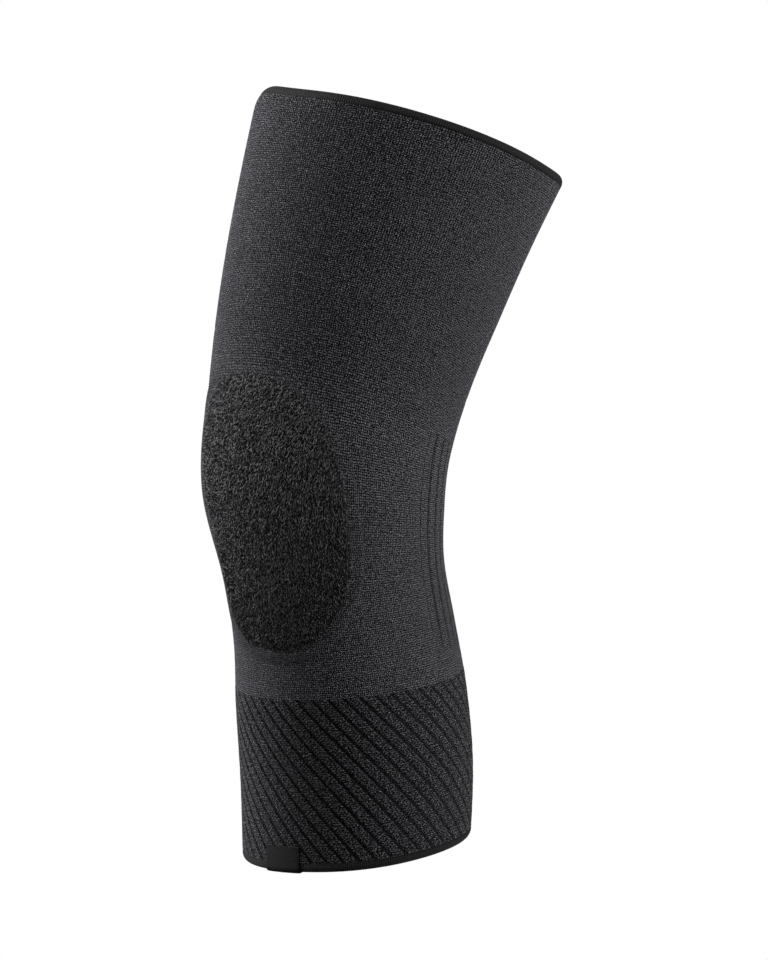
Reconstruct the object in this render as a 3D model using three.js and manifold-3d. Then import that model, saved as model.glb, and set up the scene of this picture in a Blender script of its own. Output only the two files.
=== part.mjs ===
// Knee compression sleeve, in the shape that it takes on a slightly bent leg.
// Lengths are in millimetres and angles in degrees. The origin is the middle of the knee, +Z runs up
// the leg and the kneecap faces -Y. A place on the sleeve has three numbers: at, the distance up the
// leg's axis from the knee, angle, turned from the front towards +X, and lift, the distance outwards
// from the sleeve's outer surface.

import * as THREE from 'three';
import { mergeVertices } from 'three/addons/utils/BufferGeometryUtils.js';
import Module from 'manifold-3d';

const { degToRad, lerp, smoothstep } = THREE.MathUtils;

// The leg's axis leans forward below the knee and back above it, and bends between
const CALF_LEAN = -7;
const THIGH_LEAN = 23;
const BEND_HALF_LENGTH = 60;
const AXIS_STEPS = 60;

// Outer surface: middle is the section's shift to the back, depth and side are its half sizes
const SECTIONS = [
  { at: -165, middle: 8, depth: 50.5, side: 50.5 },
  { at: -125, middle: 13, depth: 52, side: 51.5 },
  { at: -90, middle: 13.5, depth: 51.5, side: 51 },
  { at: -60, middle: 12.5, depth: 50, side: 48.5 },
  { at: -30, middle: 8.5, depth: 49.5, side: 48.5 },
  { at: 0, middle: 1, depth: 54, side: 52.5 },
  { at: 30, middle: -3.5, depth: 55.5, side: 54.5 },
  { at: 65, middle: -7, depth: 59, side: 58 },
  { at: 100, middle: -7, depth: 63, side: 62.5 },
  { at: 135, middle: -5.5, depth: 67, side: 66.5 },
  { at: 170, middle: -2.5, depth: 71, side: 71 },
];

// Heights of the rims and of the border between the plain knit and the cuff
const TOP_RIM = 167;
const CUFF_TOP = -82;
const BOTTOM_RIM = -158.5;

// Each rim is a little out of square: it rises by this much towards an angle, more and more from a height.
// A power above 1 keeps the rise near that angle, as at the drawn-out corners of the top rim.
const RIM_TILTS = [
  { from: 80, rim: TOP_RIM, rise: -2.3, towards: 56, power: 1 },
  { from: 110, rim: TOP_RIM, rise: 4.8, towards: -42, power: 10 },
  { from: 110, rim: TOP_RIM, rise: 2.6, towards: 134, power: 15 },
  { from: -100, rim: BOTTOM_RIM, rise: 1.2, towards: 132, power: 1 },
  { from: -100, rim: BOTTOM_RIM, rise: -0.8, towards: 48, power: 5 },
];

// The top rim is drawn in near one angle, more and more between two heights
const DRAW_IN = { from: TOP_RIM - 12, to: TOP_RIM + 3, inwards: 4, towards: -50, power: 4 };

// Walls: the knit, the gap between neighbouring pieces, and the facets round the plain pieces
const WALL = 2;
const GAP = 0.3;
const SIDES = 44;
const KNIT_ROWS = 12;

// Edge binding: a tape folded over each rim, flush with the knit outside
const BINDING_TALL = 4.2;
const BINDING_LEAF = 0.8;
const BINDING_ROUNDING = 0.5;
const HEM_WALL = 0.8;
const HEM_OUTER = -BINDING_LEAF - GAP;
const HEM_INNER = HEM_OUTER - HEM_WALL;
const BINDING_INSIDE = HEM_INNER - GAP - BINDING_LEAF;

// Kneecap pad: an oval that leans to one side at its lower end, and is narrower and squarer on the other
const PAD_MIDDLE = { at: -8, angle: 0 };
const PAD_ABOVE = 50;
const PAD_BELOW = 58;
const PAD_RIGHT = { half: 60, above: 0.6, below: 0.5 };
const PAD_LEFT = { half: -54, above: 0.86, below: 0.8 };
const PAD_LEAN = 10;
const PAD_POINTS = 48;

// The pad from its crown over the rounded border and back along the inside; reach is from its middle
const PAD_RINGS = [
  { reach: 0, lift: 1.9 },
  { reach: 0.3, lift: 1.9 },
  { reach: 0.6, lift: 2.1 },
  { reach: 0.85, lift: 2.1 },
  { reach: 0.94, lift: 1.2 },
  { reach: 0.97, lift: 1.3 },
  { reach: 0.99, lift: 0.8 },
  { reach: 1, lift: -0.3 },
  { reach: 1, lift: -WALL },
  { reach: 0.7, lift: -WALL },
  { reach: 0.35, lift: -WALL },
  { reach: 0, lift: -WALL },
];

// Panel behind the knee, with upright ribs
const PANEL_MIDDLE = { at: -16, angle: 180 };
const PANEL_HALF_ANGLE = 84;
const PANEL_ABOVE = 51;
const PANEL_BELOW = 54;
const PANEL_TOP_CORNER = 5;
const PANEL_LOW_CORNER = 16;
const PANEL_POINTS = 64;
const PANEL_RIBS = 45;
const PANEL_GROOVE = 0.6;
const PANEL_ROWS = 5;

// Calf cuff: ribs that run round as they go down
const CUFF_RIBS = 45;
const CUFF_GROOVE = 0.9;
const CUFF_TURN_PER_MM = 0.94;
const CUFF_PHASE = 0.9;
const CUFF_ROWS = 8;

// One rib and the groove beside it: share is the part of the pitch, depth the part of the groove
const RIB_PROFILE = [
  { share: 0, depth: 0 },
  { share: 0.66, depth: 0 },
  { share: 0.83, depth: 1 },
];

// Label tab: a short tape folded over the calf binding at the front
const LABEL_FROM = -9;
const LABEL_TO = 12;
const LABEL_TOP = -147.6;
const LABEL_INSIDE_TOP = -150;
const LABEL_LEAF = 0.5;
const LABEL_STEPS = 5;

// Window cutters reach this far past both faces of the wall, in rings this fine
const CUTTER_REACH = 5;
const CUTTER_RINGS = 7;

const COLOURS = {
  knit: '#2d2c31',
  plush: '#242427',
  ribs: '#232326',
  binding: '#1b1b1d',
  label: '#1d1d1f',
};

const wasm = await Module();
wasm.setup();

// Surface of the leg

const sections = new THREE.CubicInterpolant(
  SECTIONS.map((section) => section.at),
  SECTIONS.flatMap((section) => [section.middle, section.depth, section.side]),
  3,
);

function lean(at) {
  return degToRad(lerp(CALF_LEAN, THIGH_LEAN, smoothstep(at, -BEND_HALF_LENGTH, BEND_HALF_LENGTH)));
}

function axisPoint(at) {
  const point = new THREE.Vector3();
  const step = at / AXIS_STEPS;
  for (let i = 0; i < AXIS_STEPS; i += 1) {
    const tilt = lean((i + 0.5) * step);
    point.y += step * Math.sin(tilt);
    point.z += step * Math.cos(tilt);
  }
  return point;
}

function rimShift(at, angle) {
  let shift = 0;
  for (const { from, rim, rise, towards, power } of RIM_TILTS) {
    const facing = Math.cos(degToRad(angle - towards));
    const near = power > 1 ? Math.max(0, facing) ** power : facing;
    shift += rise * smoothstep((at - from) / (rim - from), 0, 1) * near;
  }
  return shift;
}

function drawnIn(at, angle) {
  const { from, to, inwards, towards, power } = DRAW_IN;
  const near = Math.max(0, Math.cos(degToRad(angle - towards))) ** power;
  return inwards * smoothstep(at, from, to) ** 2 * near;
}

function place(at, angle, lift) {
  const level = at + rimShift(at, angle);
  const out = lift - drawnIn(at, angle);
  const [middle, depth, side] = sections.evaluate(level);
  const turn = degToRad(angle);
  const tilt = lean(level);
  const back = middle - (depth + out) * Math.cos(turn);
  const point = axisPoint(level);
  point.x += (side + out) * Math.sin(turn);
  point.y += back * Math.cos(tilt);
  point.z -= back * Math.sin(tilt);
  return point;
}

// Rings of points round the sleeve

function plainRing(at, lift, sides = SIDES, firstAngle = 0) {
  return Array.from({ length: sides }, (_, i) => place(at, firstAngle + (360 * i) / sides, lift));
}

function ribbedRing(at, ribs, groove, firstAngle) {
  const pitch = 360 / ribs;
  const ring = [];
  for (let rib = 0; rib < ribs; rib += 1) {
    for (const { share, depth } of RIB_PROFILE) {
      ring.push(place(at, firstAngle + (rib + share) * pitch, -groove * depth));
    }
  }
  return ring;
}

function levels(from, to, rows) {
  return Array.from({ length: rows + 1 }, (_, i) => lerp(from, to, i / rows));
}

// Closed bodies from rings

// Triangles between two rings, given by their first indices and counts; a ring may be a single point
function bridge(a, aCount, b, bCount) {
  const aSteps = aCount > 1 ? aCount : 0;
  const bSteps = bCount > 1 ? bCount : 0;
  const triangles = [];
  let i = 0;
  let j = 0;
  while (i < aSteps || j < bSteps) {
    const here = a + (i % aCount);
    const there = b + (j % bCount);
    if (j === bSteps || (i < aSteps && (i + 1) / aSteps <= (j + 1) / bSteps)) {
      i += 1;
      triangles.push(here, a + (i % aCount), there);
    } else {
      j += 1;
      triangles.push(here, b + (j % bCount), there);
    }
  }
  return triangles;
}

function enclosedVolume(points, index) {
  let volume = 0;
  for (let i = 0; i < index.length; i += 3) {
    const [a, b, c] = [points[index[i]], points[index[i + 1]], points[index[i + 2]]];
    volume += a.dot(b.clone().cross(c)) / 6;
  }
  return volume;
}

// The rings run round a wall's section as a loop, or else from one end point to another
function closedBody(rings, looped) {
  const points = rings.flat();
  const starts = rings.map((_, i) => rings.slice(0, i).flat().length);
  const index = [];
  const lastPair = looped ? rings.length : rings.length - 1;
  for (let i = 0; i < lastPair; i += 1) {
    const next = (i + 1) % rings.length;
    index.push(...bridge(starts[i], rings[i].length, starts[next], rings[next].length));
  }
  if (enclosedVolume(points, index) < 0) {
    index.reverse();
  }
  const geometry = new THREE.BufferGeometry().setFromPoints(points);
  geometry.setIndex(index);
  return geometry;
}

// A wall from its open end to a bound rim, thinner where the binding covers it
function boundWall(start, rim, rows, outerRing, innerRing) {
  const inwards = Math.sign(start - rim);
  const step = rim + inwards * (BINDING_TALL + GAP);
  const end = rim + inwards * (BINDING_LEAF + GAP);
  const rowLevels = levels(start, step, rows);
  return closedBody([
    ...rowLevels.map((at) => outerRing(at)),
    innerRing(step, HEM_OUTER),
    innerRing(end, HEM_OUTER),
    innerRing(end, HEM_INNER),
    innerRing(step, HEM_INNER),
    ...rowLevels.reverse().map((at) => innerRing(at, -WALL)),
  ], true);
}

// Inlays: outlines are drawn on the unrolled sleeve, x along the angle and y along the axis

function padOutline() {
  const path = new THREE.Path();
  path.moveTo(PAD_RIGHT.half, 0);
  const quarters = [
    { half: PAD_RIGHT.half, tall: PAD_ABOVE, full: PAD_RIGHT.above, rising: true },
    { half: PAD_LEFT.half, tall: PAD_ABOVE, full: PAD_LEFT.above, rising: false },
    { half: PAD_LEFT.half, tall: -PAD_BELOW, full: PAD_LEFT.below, rising: true },
    { half: PAD_RIGHT.half, tall: -PAD_BELOW, full: PAD_RIGHT.below, rising: false },
  ];
  for (const { half, tall, full, rising } of quarters) {
    if (rising) {
      path.bezierCurveTo(half, tall * full, half * full, tall, 0, tall);
    } else {
      path.bezierCurveTo(half * full, tall, half, tall * full, half, 0);
    }
  }
  const points = path.getSpacedPoints(PAD_POINTS).slice(1);
  for (const point of points) {
    point.x += PAD_LEAN * Math.max(0, -point.y / PAD_BELOW);
  }
  return points;
}

function panelOutline() {
  const half = PANEL_HALF_ANGLE;
  const path = new THREE.Path();
  path.moveTo(half, 0);
  path.lineTo(half, PANEL_ABOVE - PANEL_TOP_CORNER);
  path.quadraticCurveTo(half, PANEL_ABOVE, half - PANEL_TOP_CORNER, PANEL_ABOVE);
  path.lineTo(PANEL_TOP_CORNER - half, PANEL_ABOVE);
  path.quadraticCurveTo(-half, PANEL_ABOVE, -half, PANEL_ABOVE - PANEL_TOP_CORNER);
  path.lineTo(-half, PANEL_LOW_CORNER - PANEL_BELOW);
  path.quadraticCurveTo(-half, -PANEL_BELOW, PANEL_LOW_CORNER - half, -PANEL_BELOW);
  path.lineTo(half - PANEL_LOW_CORNER, -PANEL_BELOW);
  path.quadraticCurveTo(half, -PANEL_BELOW, half, PANEL_LOW_CORNER - PANEL_BELOW);
  path.lineTo(half, 0);
  return path.getSpacedPoints(PANEL_POINTS).slice(1);
}

function inlay(middle, outline, rings) {
  const ringOf = ({ reach, lift }) => {
    if (reach === 0) {
      return [place(middle.at, middle.angle, lift)];
    }
    return outline.map(({ x, y }) => place(middle.at + reach * y, middle.angle + reach * x, lift));
  };
  return closedBody(rings.map(ringOf), false);
}

// A plug through the wall in the shape of an outline, scaled about its middle
function plug(middle, outline, scale) {
  const reaches = levels(0, scale, CUTTER_RINGS);
  const outside = reaches.map((reach) => ({ reach, lift: CUTTER_REACH }));
  const inside = reaches.reverse().map((reach) => ({ reach, lift: -WALL - CUTTER_REACH }));
  return solidOf(inlay(middle, outline, [...outside, ...inside]));
}

// Joins and cuts

function solidOf(geometry) {
  return new wasm.Manifold(new wasm.Mesh({
    numProp: 3,
    vertProperties: geometry.getAttribute('position').array,
    triVerts: new Uint32Array(geometry.getIndex().array),
  }));
}

function geometryOf(solid) {
  const { vertProperties, triVerts } = solid.getMesh();
  const geometry = new THREE.BufferGeometry();
  geometry.setAttribute('position', new THREE.BufferAttribute(new Float32Array(vertProperties), 3));
  geometry.setIndex(new THREE.BufferAttribute(new Uint32Array(triVerts), 1));
  return geometry;
}

// Pieces

function knitSleeve() {
  const outer = (at) => plainRing(at, 0);
  const wall = boundWall(CUFF_TOP + GAP / 2, TOP_RIM, KNIT_ROWS, outer, plainRing);
  const padWindow = plug(PAD_MIDDLE, padOutline(), 1 + GAP / PAD_ABOVE);
  const panelWindow = plug(PANEL_MIDDLE, panelOutline(), 1 + GAP / PANEL_ABOVE);
  return geometryOf(solidOf(wall).subtract(padWindow).subtract(panelWindow));
}

function patellaPad() {
  return inlay(PAD_MIDDLE, padOutline(), PAD_RINGS);
}

function backPanel() {
  const low = PANEL_MIDDLE.at - PANEL_BELOW - GAP;
  const high = PANEL_MIDDLE.at + PANEL_ABOVE + GAP;
  const rowLevels = levels(low, high, PANEL_ROWS);
  const wall = closedBody([
    ...rowLevels.map((at) => ribbedRing(at, PANEL_RIBS, PANEL_GROOVE, 0)),
    ...rowLevels.reverse().map((at) => plainRing(at, -WALL)),
  ], true);
  return geometryOf(solidOf(wall).intersect(plug(PANEL_MIDDLE, panelOutline(), 1)));
}

function ribCuff() {
  const top = CUFF_TOP - GAP / 2;
  const turned = (at) => CUFF_PHASE + CUFF_TURN_PER_MM * (top - at);
  const outer = (at) => ribbedRing(at, CUFF_RIBS, CUFF_GROOVE, turned(at));
  const inner = (at, lift) => plainRing(at, lift, CUFF_RIBS, turned(at));
  return boundWall(top, BOTTOM_RIM, CUFF_ROWS, outer, inner);
}

// The tape's section, from the outer leaf's edge over the rim to the inner leaf and back along its inside
function binding(rim) {
  const inwards = -Math.sign(rim);
  const section = [
    { below: BINDING_TALL, lift: 0 },
    { below: BINDING_ROUNDING, lift: 0 },
    { below: 0, lift: -BINDING_ROUNDING },
    { below: 0, lift: BINDING_INSIDE + BINDING_ROUNDING },
    { below: BINDING_ROUNDING, lift: BINDING_INSIDE },
    { below: BINDING_TALL, lift: BINDING_INSIDE },
    { below: BINDING_TALL, lift: BINDING_INSIDE + BINDING_LEAF },
    { below: BINDING_LEAF, lift: BINDING_INSIDE + BINDING_LEAF },
    { below: BINDING_LEAF, lift: -BINDING_LEAF },
    { below: BINDING_TALL, lift: -BINDING_LEAF },
  ];
  return closedBody(section.map(({ below, lift }) => plainRing(rim + inwards * below, lift)), true);
}

// A folded strip, drawn as a section of lift and height, extruded along the angle and laid on the sleeve
function labelTab() {
  const outside = GAP + LABEL_LEAF;
  const inside = BINDING_INSIDE - GAP - LABEL_LEAF;
  const fold = BOTTOM_RIM - GAP;
  const section = new THREE.Shape([
    new THREE.Vector2(outside, LABEL_TOP),
    new THREE.Vector2(outside, fold),
    new THREE.Vector2(outside - LABEL_LEAF, fold - LABEL_LEAF),
    new THREE.Vector2(inside + LABEL_LEAF, fold - LABEL_LEAF),
    new THREE.Vector2(inside, fold),
    new THREE.Vector2(inside, LABEL_INSIDE_TOP),
    new THREE.Vector2(inside + LABEL_LEAF, LABEL_INSIDE_TOP),
    new THREE.Vector2(inside + LABEL_LEAF, fold),
    new THREE.Vector2(GAP, fold),
    new THREE.Vector2(GAP, LABEL_TOP),
  ]);
  const strip = new THREE.ExtrudeGeometry(section, {
    depth: LABEL_TO - LABEL_FROM,
    steps: LABEL_STEPS,
    bevelEnabled: false,
  });
  strip.deleteAttribute('normal');
  strip.deleteAttribute('uv');
  const geometry = mergeVertices(strip);
  const position = geometry.getAttribute('position');
  for (let i = 0; i < position.count; i += 1) {
    const point = place(position.getY(i), LABEL_TO - position.getZ(i), position.getX(i));
    position.setXYZ(i, point.x, point.y, point.z);
  }
  return geometry;
}

function piece(name, geometry, color, roughness) {
  const mesh = new THREE.Mesh(geometry, new THREE.MeshStandardMaterial({ color, roughness, metalness: 0 }));
  mesh.name = name;
  return mesh;
}

const sleeve = new THREE.Group();
sleeve.name = 'knee_sleeve';
sleeve.add(
  piece('knit_sleeve', knitSleeve(), COLOURS.knit, 0.9),
  piece('patella_pad', patellaPad(), COLOURS.plush, 1),
  piece('back_panel', backPanel(), COLOURS.knit, 0.9),
  piece('rib_cuff', ribCuff(), COLOURS.ribs, 0.9),
  piece('top_binding', binding(TOP_RIM), COLOURS.binding, 0.7),
  piece('bottom_binding', binding(BOTTOM_RIM), COLOURS.binding, 0.7),
  piece('label_tab', labelTab(), COLOURS.label, 0.8),
);

export default sleeve;
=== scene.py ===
"""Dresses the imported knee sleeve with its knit, plush, ribs, bindings and hem tab.

Every piece is modelled flat, as the sleeve would lie unrolled with its outside to the front, and is
then laid round the leg. On the flat sheet x runs round the leg, z runs up its axis and -y is outwards.
"""

import math
from typing import NamedTuple

import bmesh
import bpy
import numpy as np
from bpy.props import FloatProperty, FloatVectorProperty, IntProperty, PointerProperty
from bpy.types import Operator, Panel, PropertyGroup
from mathutils import Matrix, Vector, noise
from mathutils.geometry import interpolate_bezier


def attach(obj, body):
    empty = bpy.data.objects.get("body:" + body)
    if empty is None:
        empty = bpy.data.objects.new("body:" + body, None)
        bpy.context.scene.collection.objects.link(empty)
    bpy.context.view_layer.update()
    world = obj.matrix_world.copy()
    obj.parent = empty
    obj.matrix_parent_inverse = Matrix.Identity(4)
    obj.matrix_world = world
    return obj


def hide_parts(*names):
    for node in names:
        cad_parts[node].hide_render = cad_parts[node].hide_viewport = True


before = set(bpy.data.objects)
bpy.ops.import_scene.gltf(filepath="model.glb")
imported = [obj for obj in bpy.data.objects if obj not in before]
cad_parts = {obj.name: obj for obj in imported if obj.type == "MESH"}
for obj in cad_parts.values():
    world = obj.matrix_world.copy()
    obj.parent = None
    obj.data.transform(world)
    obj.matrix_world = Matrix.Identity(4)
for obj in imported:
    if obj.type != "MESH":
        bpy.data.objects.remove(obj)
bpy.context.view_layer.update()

bl_info = {
    "name": "Knee sleeve",
    "version": (1, 0, 0),
    "blender": (4, 5, 0),
    "location": "3D View > Sidebar > Knee sleeve",
    "description": "Models the pieces of a knitted knee sleeve round a bent leg",
    "category": "Mesh",
}

MM = 0.001
TURN = 2 * math.pi

# The leg that the sleeve is stretched over: its axis leans forward below the knee and back above it
CALF_LEAN = math.radians(-7)
THIGH_LEAN = math.radians(23)
BEND_HALF_LENGTH = 60 * MM
AXIS_STEP = 0.5 * MM
AXIS_LEVELS = np.arange(-180 * MM, 190 * MM, AXIS_STEP)

# Outer surface of the sleeve: height on the axis, shift of the section to the back, its two half sizes
SECTIONS = MM * np.array([
    (-165, 8, 50.5, 50.5),
    (-125, 13, 52, 51.5),
    (-90, 13.5, 51.5, 51),
    (-60, 12.5, 50, 48.5),
    (-30, 8.5, 49.5, 48.5),
    (0, 1, 54, 52.5),
    (30, -3.5, 55.5, 54.5),
    (65, -7, 59, 58),
    (100, -7, 63, 62.5),
    (135, -5.5, 67, 66.5),
    (170, -2.5, 71, 71),
])

# Heights of the two rims and of the border between plain knit and cuff
TOP_RIM = 167 * MM
CUFF_TOP = -82 * MM
BOTTOM_RIM = -158.5 * MM

# Each rim is a little out of square: first height, rim, rise, the angle that it rises towards, and a
# power, which above 1 keeps the rise near that angle
RIM_TILTS = (
    (80 * MM, TOP_RIM, -2.3 * MM, math.radians(56), 1),
    (110 * MM, TOP_RIM, 4.8 * MM, math.radians(-42), 10),
    (110 * MM, TOP_RIM, 2.6 * MM, math.radians(134), 15),
    (-100 * MM, BOTTOM_RIM, 1.2 * MM, math.radians(132), 1),
    (-100 * MM, BOTTOM_RIM, -0.8 * MM, math.radians(48), 5),
)

# The thigh rim is drawn in at its front left corner
DRAWN_AT = math.radians(-50)
DRAWN_IN = 4 * MM
DRAWN_TALL = 6 * MM
DRAWN_POWER = 4

# Flat drawing: the radius that angles are unrolled at, and the distances that count as one point, on the
# sheet and on a spun disc of radius 1
FLAT_RADIUS = 55 * MM
MERGE = 0.002 * MM
DISC_MERGE = 1e-5

# Walls, the gap between neighbouring pieces, the smaller one between zones that are knitted in one, how
# far the yarn stands off the wall and reaches under a binding's edge, and the layers of a bound rim
WALL = 2 * MM
GAP = 0.3 * MM
KNIT_GAP = 0.05 * MM
YARN_LIFT = 0.3 * MM
SEWN = 0.35 * MM
BINDING_TALL = 4.2 * MM
BINDING_LEAF = 0.8 * MM
HEM_WALL = 0.8 * MM
HEM_OUTER = -BINDING_LEAF - GAP
HEM_INNER = HEM_OUTER - HEM_WALL
BINDING_INSIDE = HEM_INNER - GAP - BINDING_LEAF

# Tube of plain knit: its mesh columns round the leg, the columns and rows of its inner sheet, and how
# uneven its stitches are
KNIT_COLUMNS = 240
KNIT_INNER_GRID = (84, 48)
KNIT_UNEVEN = 0.1
KNIT_SEED = 5

# Faint lines in the plain knit: one upright at each side of the knee, which fades out above it, and one
# round the thigh
SIDE_LINE_AT = math.radians(95.6)
SIDE_LINE_WIDE = math.radians(1.6)
SIDE_LINE_DEEP = 0.3 * MM
SIDE_LINE_TOP = 50 * MM
RING_AT = 60 * MM
RING_WIDE = 1.2 * MM
RING_DEEP = 0.12 * MM

# Closed disc that cuts a window: how far it reaches out of the wall and into it, and its rings
PLUG_OUT = 5 * MM
PLUG_IN = 7 * MM
PLUG_RINGS = 8

# Kneecap pad: an oval on the flat sheet, drawn in degrees across and millimetres up. Each side has its
# reach from the middle, and how full its upper and its lower corner are
PAD_AT = -8 * MM
PAD_ABOVE = 50
PAD_BELOW = 58
PAD_RIGHT = (60, 0.6, 0.5)
PAD_LEFT = (-54, 0.86, 0.8)
PAD_LEAN = 10
PAD_STEPS = 192

# Pad's body: reach from its middle to its edge, and millimetres over the wall. Then the reaches of its mesh
PAD_RINGS = np.array([
    (0.0, 1.25),
    (0.4, 1.35),
    (0.7, 1.75),
    (0.84, 1.6),
    (0.895, 1.15),
    (0.915, 1.05),
    (0.94, 1.15),
    (0.965, 1.05),
    (0.985, 0.75),
    (1.0, 0.3),
])
PAD_OUTSIDE_REACHES = np.concatenate([np.linspace(0, 0.86, 20), np.linspace(0.872, 1, 22)])
PAD_INSIDE_REACHES = (1.0, 0.7, 0.35, 0.0)

# Plush: its reach towards the pad's edge, what it gains at the top, the share of that slope at the bottom,
# what it loses at the left, how ragged its own edge is, and the width that the pad's knit comes in over
PLUSH_REACH = 0.93
PLUSH_REACH_ABOVE = 0.06
PLUSH_SLOPE_BELOW = 0.5
PLUSH_REACH_LEFT = -0.3
PLUSH_RAGGED = 0.03
PLUSH_FADE = 0.1
PLUSH_SEED = 11

# Loops of the plush: their rows and their scatter for a spacing of 1, length for a height of 1, depth in
# the pad, sides and bends of the yarn, sizes, and how much smaller they get near the plush's edge
LOOP_ROW = 0.9
LOOP_SCATTER = 0.2
LOOP_LENGTH = 1.6
LOOP_SUNK = 0.1 * MM
LOOP_SIDES = 3
LOOP_BENDS = 2
LOOP_SIZES = (0.75, 1.3)
LOOP_SMALLER = 0.4
LOOP_SMALLER_WITHIN = 0.1

# How loops are turned on the sheet, more so towards the lower right, how much that and their tip varies,
# and the tufts that they rise and sink in
LOOP_TURN = math.radians(55)
LOOP_TURN_MORE = math.radians(32)
LOOP_TURN_FROM = -20 * MM
LOOP_TURN_FULL = 50 * MM
LOOP_TURN_SPREAD = math.radians(20)
LOOP_TIP_SPREAD = math.radians(25)
TUFT = 5 * MM
TUFT_LIFT = 0.08 * MM

# Tone of the loops: painted shade towards the bottom, painted light towards the upper left and at the
# plush's edge
PAINTED_SHADE_BELOW = 0.75
PAINTED_SHADE_DOWN = 50 * MM
PAINTED_LIGHT_UPPER_LEFT = 0.6
PAINTED_LIGHT_FROM = 20 * MM
PAINTED_LIGHT_FULL = 65 * MM
PAINTED_EDGE_LIGHT = 0.3
PAINTED_EDGE_LIGHT_WITHIN = 0.08

# Panel behind the knee, drawn as the pad is
PANEL_AT = -16 * MM
PANEL_HALF_ANGLE = 84
PANEL_ABOVE = 51
PANEL_BELOW = 54
PANEL_TOP_CORNER = 5
PANEL_LOW_CORNER = 16
PANEL_STEPS = 160

# Its sheet: millimetres past the outline, ribs for a full turn, the first rib that it holds, the shallow
# groove on each rib's back, its share of the stitches' relief, the heights that its ribs fade between, and
# the columns and rows of its inner sheet
PANEL_MARGIN = 1
PANEL_RIBS = 45
PANEL_FIRST_RIB = 11
PANEL_BACK_GROOVE = 0.2
PANEL_RELIEF = 0.6
PANEL_FADE_LOW = PANEL_AT - 54 * MM
PANEL_FADE_HIGH = PANEL_AT - 36 * MM
PANEL_INNER_GRID = (40, 24)

# Calf cuff: its ribs, how far they are turned for each metre down and at the top, how uneven its stitches
# are, the columns and rows of its inner sheet, and the part of a row that rounding may be out by
CUFF_RIBS = 45
CUFF_TURN_PER_METRE = math.radians(940)
CUFF_PHASE = math.radians(0.9)
CUFF_UNEVEN = (0.7, 1.1)
CUFF_SEED = 7
CUFF_INNER_GRID = (2 * CUFF_RIBS, 24)
ROW_SLACK = 0.01

# Ribs of the cuff and the panel: mesh columns and the cuff's wales in each, how far wales are shifted, and
# the groove's place and half width as shares of a rib
COLUMNS_PER_RIB = 12
WALES_PER_RIB = 4
WALE_SHIFT = 0.18
GROOVE_AT = 0.83
GROOVE_HALF = 0.155

# Outer face of a binding from its sewn edge to the rim: share of its height, millimetres over the yarn and
# share of the bulge. Then its slanted inner corner, the rounding of all corners and its steps round the leg
BINDING_FACE = (
    (1.0, -0.15, 0),
    (0.8, 0, 0.5),
    (0.55, 0, 0.5),
    (0.32, -0.15, 0),
    (0.14, -0.6, 0),
    (0, -1.3, 0),
)
BINDING_CORNER = 0.5 * MM
BINDING_ROUND = 0.22 * MM
BINDING_STEPS = 240

# Hem tab: its sides, the ends of its two leaves, its thickness, and how its fold goes round the rim
TAB_FROM = math.radians(-9)
TAB_TO = math.radians(12)
TAB_TOP = -147.6 * MM
TAB_INSIDE_TOP = -150 * MM
TAB_LEAF = 0.35 * MM
TAB_GAP = 0.1 * MM
TAB_FOLD_TALL = 0.6 * MM
TAB_FOLD_OUTSIDE = 0.8 * MM
TAB_FOLD_INSIDE = 1.2 * MM
TAB_CUTS = 5
TAB_STEPS = 24

# Picture: its scale and its height in pixels, where the camera points, to the right of the knee and above
# it, how far it sees, and the half width of the floor
PIXELS_PER_METRE = 2250
PICTURE_TALL = 960
LOOK_RIGHT = 27.1 * MM
LOOK_UP = 8.9 * MM
CAMERA_FAR = 60
FLOOR_HALF = 30
WHITE = (1, 1, 1)

# Soft lights: name, place to the right of the knee, above it and towards the camera, size and power
LIGHTS = (
    ("left_soft_light", (-1.5, 0.4, -0.35), (1.0, 1.3), 32),
    ("left_high_light", (-1.2, 1.3, 0.4), (1.2, 1.6), 10),
    ("right_soft_light", (1.45, 0.25, 0.7), (1.2, 0.8), 23),
)


# Settings that a user may change


def length_setting(name, description, default):
    return FloatProperty(name=name, description=description, default=default, unit="LENGTH", precision=5)


def angle_setting(name, description, default):
    return FloatProperty(name=name, description=description, default=default, subtype="ANGLE")


def share_setting(name, description, default):
    return FloatProperty(
        name=name, description=description, default=default, subtype="FACTOR", min=0, max=1
    )


def colour_setting(name, description, default):
    return FloatVectorProperty(
        name=name, description=description, default=default, subtype="COLOR", size=3, min=0, max=1
    )


class KnitSettings(PropertyGroup):
    """Plain knit of the tube."""

    wales: IntProperty(name="Wales", description="Columns of stitches round the leg", default=345, min=60)
    course: length_setting("Course", "Height of one row of stitches", 0.98 * MM)
    relief: length_setting("Relief", "Height of the stitches in the mesh", 0.12 * MM)
    yarn: colour_setting("Yarn", "Colour on top of the stitches", (0.127, 0.125, 0.139))
    depth: colour_setting("Depth", "Colour between the stitches", (0.0035, 0.0034, 0.0038))


class PlushSettings(PropertyGroup):
    """Looped plush of the kneecap pad."""

    spacing: length_setting("Spacing", "Distance from loop to loop", 0.82 * MM)
    span: length_setting("Span", "Half width of a loop", 0.38 * MM)
    thickness: length_setting("Thickness", "Radius of the looped yarn", 0.154 * MM)
    yarn: colour_setting("Yarn", "Colour of the loops", (0.215, 0.215, 0.221))
    # Depth is painted shadow on the pad's body under the loops
    depth: colour_setting("Depth", "Colour under the loops", (0.005, 0.005, 0.005))


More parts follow.
